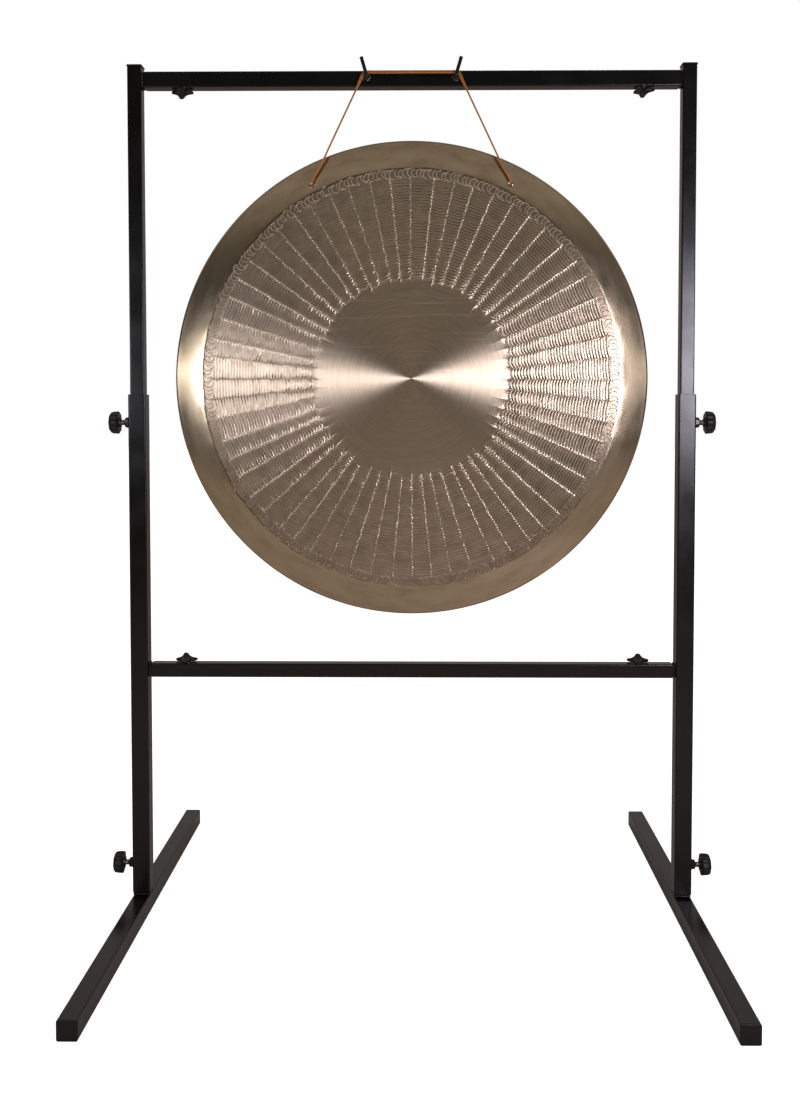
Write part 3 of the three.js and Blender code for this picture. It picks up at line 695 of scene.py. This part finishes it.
def hookPoints(x, faceY, backY, z, sign):
    lean, radius = math.radians(hook["lean"]), rod["diameter"] / 2
    up, forward = Vector((sign * math.sin(lean), 0, math.cos(lean))), Vector((0, -1, 0))
    origin, back = Vector((x, faceY, z)), Vector((x, backY, z))
    points = [(*back, 0.8), (*(back + forward * 0.6), 1)]
    for step in range(hook["bendSteps"] + 1):
        slope = step * math.pi / 2 / hook["bendSteps"]
        ahead = hook["reach"] - hook["bend"] + hook["bend"] * math.sin(slope)
        rise = hook["bend"] * (1 - math.cos(slope))
        points.append((*(origin + forward * ahead + up * rise), 1))
    for step in range(7):  # the rod's end is domed
        angle = step * math.pi / 2 / 6.4
        rise = hook["arm"] - radius + radius * math.sin(angle)
        points.append((*(origin + forward * hook["reach"] + up * rise), math.cos(angle)))
    return points


flange, flangeHeight, flangeBore = hook["flange"], hook["flangeHeight"], rod["diameter"] / 2 + hook["play"]
for side, sign in sides.items():
    x, _, z = boxOf(side + "_hook_back_nut")[2]
    faceY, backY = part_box("top_crossbar")[0].y / mm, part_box(side + "_hook")[1].y / mm
    points = hookPoints(x, faceY, backY, z, sign)
    addPiece(side + "_hook", "rod", "upper_frame", threadedMesh(points, rod, blackRod))
    for end, direction in (("front", -1), ("back", 1)):
        node = f"{side}_hook_{end}_nut"
        seat = (x, spanOf(node, 1, direction)[0], z)
        washer = turned([(flange - 0.15, 0), (flange, 0.2), (flange - 0.1, flangeHeight),
                         (flangeBore, flangeHeight), (flangeBore, 0)])
        nut = hexNut(hook["nutAcross"], hook["nutHeight"], hook["nutChamfer"], rod["diameter"] / 2 + 0.1)
        lifted = placed(nut, Matrix.Translation((0, 0, flangeHeight)))
        place = facing((0, direction, 0), seat, spin=hook["nutSpin"])
        mesh = merged(shapeMesh([washer, lifted], place, blackNut))
        addPiece(node, "hex", "upper_frame", mesh)
print("hooks made")


# Cord: two strands from a knot behind one hole over both hooks to the other hole
twist = {"diameter": 2.2, "pitch": 3.4, "depth": 0.16, "starts": 3, "sides": 12}
cord = {"apart": 2.5, "turnStart": 68, "turnLength": 24, "knotSize": 3.3, "knotSteps": 90,
        "stepsPerSpan": 5, "sharpAngle": 80}
cordRoute = [(0, 0, 5.45), (20, 0, 5.45), (40, 0, 5.45), (56, 0, 5.45), (62.5, 0, 5.45),
             (64.6, 0, 5.05), (66.4, 0, 3.85), (67.4, -0.05, 2.3), (70, -0.1, -3.3),
             (81, -0.4, -27), (97, -1.1, -60.9), (113, -1.9, -94.9), (127, -2.9, -124.5),
             (134.9, -3.4, -139.3), (138.2, -3.2, -146.8), (138.9, -1.3, -149.9),
             (138.9, 1.3, -150.3), (138.9, 5, -150.3)]


# The strands lie one over the other along the bar and one behind the other where they hang
def strandLine(middle, offset):
    outward, travelled, points = Vector((0, 0, 1)), 0.0, []
    for before, here, after in zip([middle[0]] + middle, middle, middle[1:] + [middle[-1]]):
        tangent = Vector(after - before).normalized()
        outward = (outward - tangent * outward.dot(tangent)).normalized()
        travelled += np.linalg.norm(here - before)
        share = min(1.0, max(0.0, (travelled - cord["turnStart"]) / cord["turnLength"]))
        offsetNow = (Matrix.Rotation(share * math.pi / 2, 3, tangent) @ outward) * offset
        points.append(here + np.array(offsetNow) + cordOrigin)
    return [point * np.array([-1, 1, 1]) for point in points[:0:-1]] + points


def knotLine(centre):
    size, line = cord["knotSize"], []
    for step in range(cord["knotSteps"]):
        turn = 4 * math.pi * step / cord["knotSteps"]
        reach = size * (2 + math.cos(1.5 * turn)) / 2
        line.append(centre + np.array([reach * math.cos(turn), -size * math.sin(1.5 * turn) / 2,
                                       reach * math.sin(turn)]))
    return line


# It runs midway between the bar's face and the hooks' arms, at the height of the hooks
armFront = boxOf("right_hook")[0].y + rod["diameter"] / 2
cordOrigin = np.array([0, (boxOf("top_crossbar")[0].y + armFront) / 2, boxOf("right_hook_back_nut")[2].z])
middle = smoothLine(cordRoute, cord["stepsPerSpan"])
cordPaths = [pathCurve(strandLine(middle, sign * cord["apart"] / 2)) for sign in sides.values()]
for sign in sides.values():
    knot = knotLine(middle[-1] * np.array([sign, 1, 1]) + cordOrigin)
    cordPaths.append(pathCurve(knot, cyclic=True))
cordMeshes = [grow(helix, path, twist, material=twine) for path in cordPaths]
addPiece("hanging_cord", "strands", "hung_gong", merged(*cordMeshes, sharpAngle=cord["sharpAngle"]))
print("cord made")


# Gong: one sheet, spun and hammered. Its middle is turned smooth, rays of hammer strokes run out to
# a soft shoulder with a ring of curls before it, and a polished band rolls back into the rim.
gong = {"discRadius": 139, "creaseInset": 38.5, "thickness": 1.6, "dome": 4, "fall": 3,
        "shoulder": 3, "shoulderDrop": 0.25, "creaseWobble": 0.4, "bandSlope": 0.185, "bandFall": 8,
        "rimRound": 3, "rimTaper": 3, "rays": 60, "strokes": 34, "fieldInner": 144.5,
        "fieldOuter": 284, "rayShift": 4.0, "rayBow": 5.6, "strokeDepth": 0.78, "ridge": 0.012,
        "crown": 0.12, "tilt": 0.28, "sway": 0.8, "arcPaleness": 0.3, "seed": 11,
        "holeDiameter": 8, "sharpAngle": 50}
columnShares = [0, 0.018, 0.085, 0.25, 0.42, 0.58, 0.75, 0.915, 0.982]
strokeShares = [0, 0.16, 0.5, 0.84]
discRings = [12, 36, 64, 90, 112, 128, 136, 141.5]
backRings = [260, 200, 139, 90, 12]
gongRadius, gongFront, gongDepth = gongHigh.x, gongLow.y, gongHigh.y - gongLow.y
disc, crease = gong["discRadius"], gongRadius - gong["creaseInset"]
shoulder, bandEnd = crease - gong["shoulder"], gongRadius - gong["rimRound"]
plain, edge = -1, -2  # marks of the rings outside the strokes, and of those on the shoulder


# How far the front lies behind the middle of the gong, from the disc to the end of the band
def frontDepth(radius):
    dome, fall, drop = gong["dome"], gong["fall"], gong["shoulderDrop"]
    if radius <= disc:
        return dome * (radius / disc) ** 2
    if radius <= shoulder:
        return dome + fall * (radius - disc) / (shoulder - disc)
    if radius <= crease:
        return dome + fall + drop * ((radius - shoulder) / gong["shoulder"]) ** 2
    share, straight = (radius - crease) / (bandEnd - crease), gong["bandSlope"] * (bandEnd - crease)
    return dome + fall + drop + straight * share + (gong["bandFall"] - drop - straight) * share ** 2


# Each ring: its radius and depth, its share of a stroke or its mark, and its share of the rays
def gongRings():
    inner, outer, strokes = gong["fieldInner"], gong["fieldOuter"], gong["strokes"]
    rings = [(radius, plain, 0) for radius in discRings]
    for along, share in [((i + share) / strokes, share) for i in range(strokes) for share in strokeShares]:
        rings.append((inner + (outer - inner) * along, share, along))
    rings += [(outer, plain, 1), (crease - 7, plain, 1)]
    rings += [(crease - inset, edge, 1) for inset in (3, 2, 1, 0)]
    rings += [(crease + (bandEnd - crease) * step / 7, plain, 1) for step in range(1, 8)]
    rings = [(radius, frontDepth(radius), mark, along) for radius, mark, along in rings]
    start, bend, thickness = frontDepth(bandEnd), gong["rimRound"], gong["thickness"]
    rim = [(bandEnd + bend * math.sin(angle), start + bend * (1 - math.cos(angle)))
           for angle in (step * math.pi / 8 for step in range(1, 5))]
    end, taper = start + bend, gong["rimTaper"]
    rim += [(gongRadius - inset, depth) for inset, depth in (
        (taper / 2, (end + gongDepth) / 2), (taper, gongDepth), (taper + thickness, gongDepth),
        (thickness, end + 1))]
    back = [bandEnd - 0.4, bandEnd - 2, bandEnd - 16, crease + 4, crease, crease - 4, *backRings]
    rim += [(radius, frontDepth(radius) + thickness) for radius in back]
    return rings + [(radius, depth, plain, 1) for radius, depth in rim]


def gongBase():
    rings, rays, columns = gongRings(), gong["rays"], len(columnShares)
    count = rays * columns
    rayOf, across = np.repeat(np.arange(rays), columns), np.tile(columnShares, rays)
    rayWidth = 2 * math.pi / rays
    generator = np.random.default_rng(gong["seed"])
    borders = np.arange(rays) * rayWidth + generator.uniform(-0.09, 0.09, rays) * rayWidth
    nextBorders = np.append(borders[1:], borders[0] + 2 * math.pi)
    angles = borders[rayOf] + (nextBorders - borders)[rayOf] * across
    radii, depths, marks, alongs = np.array(rings).T
    # the edge of the shoulder was beaten by hand, so it wanders a little
    wobble = np.sin(17 * angles + 1) + np.sin(31 * angles) + 0.8 * np.sin(67 * angles + 2)
    reach = radii[:, None] + np.outer(marks == edge, gong["creaseWobble"] * wobble)
    points = np.stack([gongAxis.x + reach * np.cos(angles),
                       gongFront + np.repeat(depths[:, None], count, axis=1),
                       gongAxis.z + reach * np.sin(angles)], axis=-1).reshape(-1, 3)
    poles = [(gongAxis.x, gongFront + depth, gongAxis.z) for depth in (0, gong["thickness"])]
    faces, regions = [], []
    for i in range(len(rings) - 1):
        low, high = i * count, (i + 1) * count
        outer = max(radii[i], radii[i + 1])
        regions += [0 if outer <= disc + 3 else 1 if outer <= shoulder + 0.01 else 2] * count
        for j in range(count):
            after = (j + 1) % count
            faces.append((low + j, low + after, high + after, high + j))
    frontPole, last = len(rings) * count, (len(rings) - 1) * count
    for j in range(count):
        after = (j + 1) % count
        faces += [(frontPole, after, j), (frontPole + 1, last + j, last + after)]
        regions += [0, 0]
    mesh = bpy.data.meshes.new("gongSheet")
    mesh.from_pydata((np.concatenate([points, poles]) * mm).tolist(), [], faces)
    inField = marks >= 0
    loose, bowed = inField * (1 - alongs), inField * (0.45 + 0.55 * np.exp(-5 * alongs))
    loose[6:8] = bowed[6:8] = 0.6, 1  # the last disc rings move with the rays' inner ends
    fields = {"stroke": np.maximum(marks, 0), "inField": inField, "loose": loose, "bowed": bowed,
              "number": inField * (alongs * gong["strokes"] + 0.001).astype(int)}
    fields = {label: np.repeat(values, count) for label, values in fields.items()}
    fields |= {"ray": np.tile(rayOf, len(rings)), "across": np.tile(across, len(rings))}
    for label, values in fields.items():
        kind, code = ("INT", "i4") if label in ("ray", "number") else ("FLOAT", "f4")
        layer = mesh.attributes.new(label, kind, "POINT")
        layer.data.foreach_set("value", np.append(values, [0, 0]).astype(code))
    layer = mesh.attributes.new("region", "INT", "FACE")
    layer.data.foreach_set("value", np.array(regions, "i4"))
    return mesh


# Moves the smooth sheet's points: each ray slides in or out, tilts and crowns, each stroke is struck
# in, and a ridge with a notch at every stroke stands between two rays
def hammerTree():
    tree, add, given = newTree(
        "hammeredRays", Length="rayShift rayBow strokeDepth ridge crown tilt sway",
        Float="arcPaleness", Int="seed", Vector="centre", Material="disc field band")
    ray, number, region, across, stroke, inField, loose, bowed = [
        add("InputNamedAttribute", label, data_type=kind).outputs[0]
        for kind, labels in (("INT", "ray number region"), ("FLOAT", "across stroke inField loose bowed"))
        for label in labels.split()]
    place = add("InputPosition")
    flat = add("VectorMath multiply", add("VectorMath subtract", place, given["centre"]), (1, 0, 1))
    outward = add("VectorMath normalize", flat)
    shiftShare = add("RandomValue", -1.0, 1.0, ray, given["seed"])
    tiltShare = add("RandomValue", -1.0, 1.0, ray, add("add", given["seed"], 7.0))
    # how far across the ray, from -1 to 1, and how near its border
    middle = add("multiply_add", across, 2.0, -1.0)
    squared = add("multiply", middle, middle)
    bulge = add("subtract", 1.0, squared)
    border = add("power", squared, 13.0)
    # radial slide of the ray's points: whole rays start nearer or farther, and each stroke is an arch
    shift = add("multiply", add("multiply", shiftShare, given["rayShift"]), loose)
    arch = add("multiply", add("power", bulge, 0.55), given["rayBow"])
    slide = add("subtract", shift, add("multiply", arch, bowed))
    # the borders wander a little from side to side, as no two strokes end alike
    tangent = add("VectorMath cross_product", outward, (0, 1, 0))
    sway = add("MapRange", add("TexNoise", place, 150.0, 2.0), 0.3, 0.7, -1.0, 1.0)
    for factor in (given["sway"], inField, add("power", squared, 1.5)):
        sway = add("multiply", sway, factor)
    sideways = add("VectorMath add", add("VectorMath scale", outward, slide),
                   add("VectorMath scale", tangent, sway))

    # a share that grows towards one side of the gong
    def towards(direction, start, end, most):
        return add("MapRange", add("VectorMath dot_product", outward, direction), start, end, 0.0, most)

    # strength of the strokes: patchy, weaker at the upper left and the bottom, and stronger on the right,
    # where the lamps show them darkest; it sets their depth and the painted shade in their valleys
    soft = add("maximum", towards((-0.8, 0, 0.6), 0.5, 0.95, 0.35), towards((0.1, 0, -1), 0.5, 0.9, 0.5))
    strokeStrength = add("MapRange", add("TexNoise", place, 28.0, 3.0), 0.3, 0.65, 0.55, 0.9)
    strokeStrength = add("add", strokeStrength, towards((1, 0, 0.35), -0.1, 0.7, 0.4))
    luck = add("RandomValue", 0.6, 1.15, add("multiply_add", ray, 64.0, number), given["seed"])
    strokeStrength = add("multiply", strokeStrength, luck)
    strokeStrength = add("subtract", strokeStrength, add("multiply", soft, bulge), use_clamp=True)
    # stroke profile: a narrow valley at 0 with a pillow between two of them
    wave = add("sine", add("multiply", stroke, math.pi))
    valley = add("subtract", 1.0, add("power", wave, 0.8))
    struck = valley
    for factor in (strokeStrength, add("subtract", 1.0, border), inField):
        struck = add("multiply", struck, factor)
    ridge = add("multiply_add", add("power", valley, 0.5), -0.85, 1.0)
    for factor in (border, add("MapRange", tiltShare, -1.0, 1.0, 0.25, 1.0), inField):
        ridge = add("multiply", ridge, factor)
    # pale lines, painted highlights: the borders, a thin arc beside each stroke and the rounded end of
    # each ray
    beside = add("multiply", add("compare", stroke, strokeShares[1], 0.05), strokeStrength)
    arcLine = add("multiply", beside, given["arcPaleness"])
    pale = add("maximum", arcLine, add("MapRange", loose, 0.996, 1.0, 0.0, 0.8))
    pale = add("maximum", add("multiply", pale, inField), ridge)
    tilt = add("multiply", add("multiply", middle, tiltShare), given["tilt"])
    tilt = add("multiply", tilt, bulge)
    height = add("add", add("multiply", bulge, given["crown"]), tilt)
    height = add("multiply", height, inField)
    height = add("add", height, add("multiply", ridge, given["ridge"]))
    height = add("subtract", height, add("multiply", struck, given["strokeDepth"]))
    forward = add("CombineXYZ", None, add("multiply", height, -1.0))
    sheet = add("SetPosition", given["Geometry"], Offset=add("VectorMath add", sideways, forward))
    # strokeTone darkens the stroke valleys, partly patina and partly painted shade; borderTone is the
    # painted highlight of the pale lines
    for label, value in (("strokeTone", struck), ("borderTone", pale)):
        sheet = add("StoreNamedAttribute", sheet, None, label, value)
    choices = [(add("Compare equal", region, value, data_type="INT"), given[label])
               for value, label in ((1, "field"), (2, "band"))]
    finishTree(add, sheet, given["disc"], choices)
    return tree


gongMesh = grow(hammerTree(), gongBase(), gong, centre=tuple(gongAxis * mm), disc=bronzeDisc,
                field=bronzeField, band=bronzeBand)
print("gong grown:", len(gongMesh.polygons), "faces")

# The cord's two holes, bored straight through the band
bit = turned([(gong["holeDiameter"] / 2, height) for height in (-30, 30)], closed=False, count=32)
holeEnd = cordOrigin + np.array(cordRoute[-1])
bits = [placed(bit, facing((0, 1, 0), (sign * holeEnd[0], gongFront + 8, holeEnd[2])))
        for sign in sides.values()]
drillMesh = merged(shapeMesh(bits, Matrix(), bronzeBand))
for material in (bronzeDisc, bronzeField):
    drillMesh.materials.append(material)
drill = newObject("drill", drillMesh)
sheet = newObject("gongSheet", gongMesh)
boring = sheet.modifiers.new("boring", "BOOLEAN")
boring.operation = "DIFFERENCE"
boring.solver = "EXACT"
boring.material_mode = "TRANSFER"
boring.object = drill
boredMesh = shaded(applied(sheet, boring), gong["sharpAngle"])
bpy.data.objects.remove(drill)
addPiece("gong", "hammered_sheet", "hung_gong", boredMesh)
print("gong bored:", len(boredMesh.polygons), "faces,", [m.name for m in boredMesh.materials])


# Curls: a row of small C-shaped punch marks between the rays and the shoulder
curl = {"count": 300, "radius": 286.6, "width": 14, "wire": 0.6, "sweep": 190, "unevenness": 0.3,
        "paleness": 1.0, "wander": 1.4, "twist": 0.7, "seed": 3, "sharpAngle": 80}


def curlSpots():
    generator = np.random.default_rng(curl["seed"])
    points, turns = [], []
    for index in range(curl["count"]):
        angle = 2 * math.pi * (index + generator.uniform(-0.12, 0.12)) / curl["count"]
        radius = curl["radius"] + generator.uniform(-1, 1) * curl["wander"]
        points.append((gongAxis.x + radius * math.cos(angle), gongFront + frontDepth(radius) - 0.1,
                       gongAxis.z + radius * math.sin(angle)))
        # the arc lies in the sheet's plane, open towards the next curl
        start = angle + math.pi / 2 - math.radians(curl["sweep"] / 2)
        spin = start + generator.uniform(-1, 1) * curl["twist"]
        turns.append(Matrix.Rotation(math.pi / 2, 3, "X") @ Matrix.Rotation(spin, 3, "Z"))
    mesh = bpy.data.meshes.new("curlSpots")
    mesh.from_pydata((np.array(points) * mm).tolist(), [], [])
    layer = mesh.attributes.new("turn", "FLOAT_VECTOR", "POINT")
    layer.data.foreach_set("vector", [value for turn in turns for value in turn.to_euler()])
    return mesh


curlMesh = grow(curlTree(), curlSpots(), curl, material=bronzeField)
addPiece("gong", "ring_of_curls", "hung_gong",
         merged(curlMesh, sharpAngle=curl["sharpAngle"]))
print("curls made")


# Stage: a wide pale floor, a white ground behind the stand, and boxes and cards of light before it
studio = {
    # in the floor's reflections floorBright is a painted pool of light and floorFar painted shade
    "floor": "#e9e9e8", "floorMirrored": "#c8c2bd", "floorBright": "#efe9e3", "floorFar": "#57514d",
    "floorReach": 30, "floorGlow": 0.95, "fill": 0.36, "behind": 0.32, "front": 0.05,
    "overhead": 0.34, "ceilingShare": 0.6, "mirroredTint": "#fff2e8", "white": "#ffffff",
    "lamps": {
        "rightBox": {"at": (0.8, -1.31, 0.86), "size": (0.26, 0.38), "watts": 7.8, "tint": "#f6f0ff"},
        "rightCard": {"at": (1.27, -1.1, 0.86), "size": (0.45, 0.2), "watts": 0.27, "tint": "#fffcff"},
        "leftBox": {"at": (-0.96, -1.21, 0.83), "size": (0.1, 0.22), "watts": 2.35, "tint": "#f2f3ff"},
        "leftCard": {"at": (-1.25, -1.15, 0.86), "size": (0.54, 0.14), "watts": 0.6, "tint": "#fffcff"},
    },
}
view = {"lens": 37.717, "sensor_width": 36, "shift_x": -0.0109, "shift_y": -0.072}
viewPlace, viewTurn = (0.0191, -1.6431, 0.7064), (90 - 2.303, 0, 0.64)


def makeFloor():
    reach = studio["floorReach"]
    mesh = bpy.data.meshes.new("floor")
    corners = [(-reach, -reach, 0), (reach, -reach, 0), (reach, reach, 0), (-reach, reach, 0)]
    mesh.from_pydata(corners, [], [(0, 1, 2, 3)])
    material = bpy.data.materials.new("whiteSweep")
    add = emptied(material)
    # white to the eye; in reflections grey by the stand, a painted pool of light in front, painted shade
    # far off
    path = add("LightPath").outputs
    seen = add("maximum", path["Is Camera Ray"], path["Is Transmission Ray"])
    depth = add("SeparateXYZ", add("TexCoord").outputs["Object"]).outputs["Y"]
    smooth = {"interpolation_type": "SMOOTHSTEP"}
    near = add("MapRange", depth, -3.4, -2.4, 0.0, 1.0, **smooth)
    close = add("MapRange", depth, -1.6, -0.9, 0.0, 1.0, **smooth)
    paintedFloorLight = add("Mix", close, linear(studio["floorBright"]), linear(studio["floorMirrored"]),
                data_type="RGBA")
    mirrored = add("Mix", near, linear(studio["floorFar"]), paintedFloorLight, data_type="RGBA")
    colour = add("Mix", seen, mirrored, linear(studio["floor"]), data_type="RGBA")
    glow = add("Emission", linear(studio["white"]), add("multiply", seen, studio["floorGlow"]))
    add("OutputMaterial", add("AddShader", add("BsdfDiffuse", colour), glow))
    mesh.materials.append(material)
    newObject("floor", mesh)


def makeWorld():
    world = bpy.data.worlds.new("studio")
    bpy.context.scene.world = world
    add = emptied(world)
    heading = add("SeparateXYZ", add("TexCoord").outputs["Generated"]).outputs
    smooth = {"interpolation_type": "SMOOTHSTEP"}
    behind = add("MapRange", heading["Y"], -0.15, 0.3, 0.0, 1.0, **smooth)
    above = add("MapRange", heading["Z"], 0.32, 0.54, studio["front"], studio["overhead"], **smooth)
    ceiling = add("MapRange", heading["Z"], 0.56, 0.75, 1.0, studio["ceilingShare"], **smooth)
    inMetal = add("Mix", behind, add("multiply", above, ceiling), studio["behind"])
    path = add("LightPath").outputs
    direct = add("maximum", path["Is Camera Ray"], path["Is Transmission Ray"])
    level = add("Mix", path["Is Glossy Ray"], studio["fill"], inMetal)
    level = add("Mix", direct, level, 1.0)
    hue = add("Mix", direct, linear(studio["mirroredTint"]), linear(studio["white"]), data_type="RGBA")
    add("OutputWorld", add("Background", hue, level))


def makeLamps():
    for name, lamp in studio["lamps"].items():
        light = bpy.data.lights.new(name, "AREA")
        light.shape = "RECTANGLE"
        light.size, light.size_y = lamp["size"]
        light.energy = lamp["watts"]
        light.color = linear(lamp["tint"])[:3]
        holder = newObject(name, light)
        holder.location = lamp["at"]
        aim = gongAxis * mm - Vector(lamp["at"])
        holder.rotation_euler = aim.to_track_quat("-Z", "Y").to_euler()


def makeCamera():
    data = bpy.data.cameras.new("photograph")
    for setting, value in view.items():
        setattr(data, setting, value)
    camera = newObject("photograph", data)
    camera.location = viewPlace
    camera.rotation_euler = [math.radians(angle) for angle in viewTurn]
    bpy.context.scene.camera = camera


makeFloor()
makeWorld()
makeLamps()
makeCamera()
bpy.context.scene.view_settings.view_transform = "Standard"
print("stage made")
